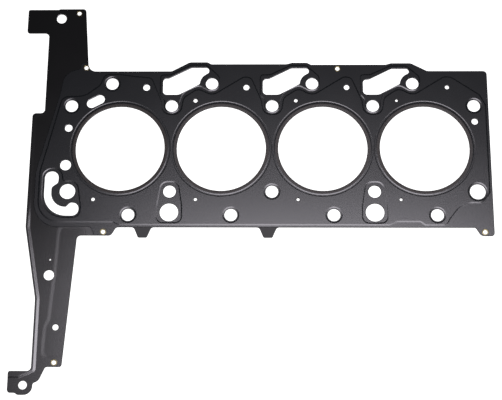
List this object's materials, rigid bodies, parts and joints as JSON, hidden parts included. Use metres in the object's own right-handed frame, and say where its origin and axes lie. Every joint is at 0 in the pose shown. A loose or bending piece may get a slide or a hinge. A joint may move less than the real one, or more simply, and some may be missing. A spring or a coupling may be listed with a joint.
{
  "type": "cylinder head gasket",
  "caption": "Flat multi-layer steel head gasket for an inline engine: bore openings with ring beads, bolt holes, coolant ports, slanted windows and a long timing-end arm, held by hollow rivets.",
  "frame": {"origin": "middle of the bore line, midway between the second and third cylinder, on the lowest face", "axes": "+Z towards the cylinder head, X along the row of cylinders with the timing end at -X, Y across it"},
  "size_m": [0.5007, 0.4255, 0.0015],
  "materials": {
    "coated_steel": "thin satin black rubber coating over spring steel",
    "coated_carrier": "thin satin black rubber coating over steel sheet",
    "bare_steel": "bare cold-rolled stainless strip",
    "brass": "drawn and rolled brass tube"
  },
  "bodies": {
    "root": {"head_side_layer": "coated_steel", "carrier_layer": "coated_carrier", "block_side_layer": "coated_steel", "stopper_ring_1": "bare_steel", "stopper_ring_2": "bare_steel", "stopper_ring_3": "bare_steel", "stopper_ring_4": "bare_steel", "rivet_1": "brass", "rivet_2": "brass", "rivet_3": "brass", "rivet_4": "brass", "rivet_5": "brass", "rivet_6": "brass"}
  },
  "joints": []
}
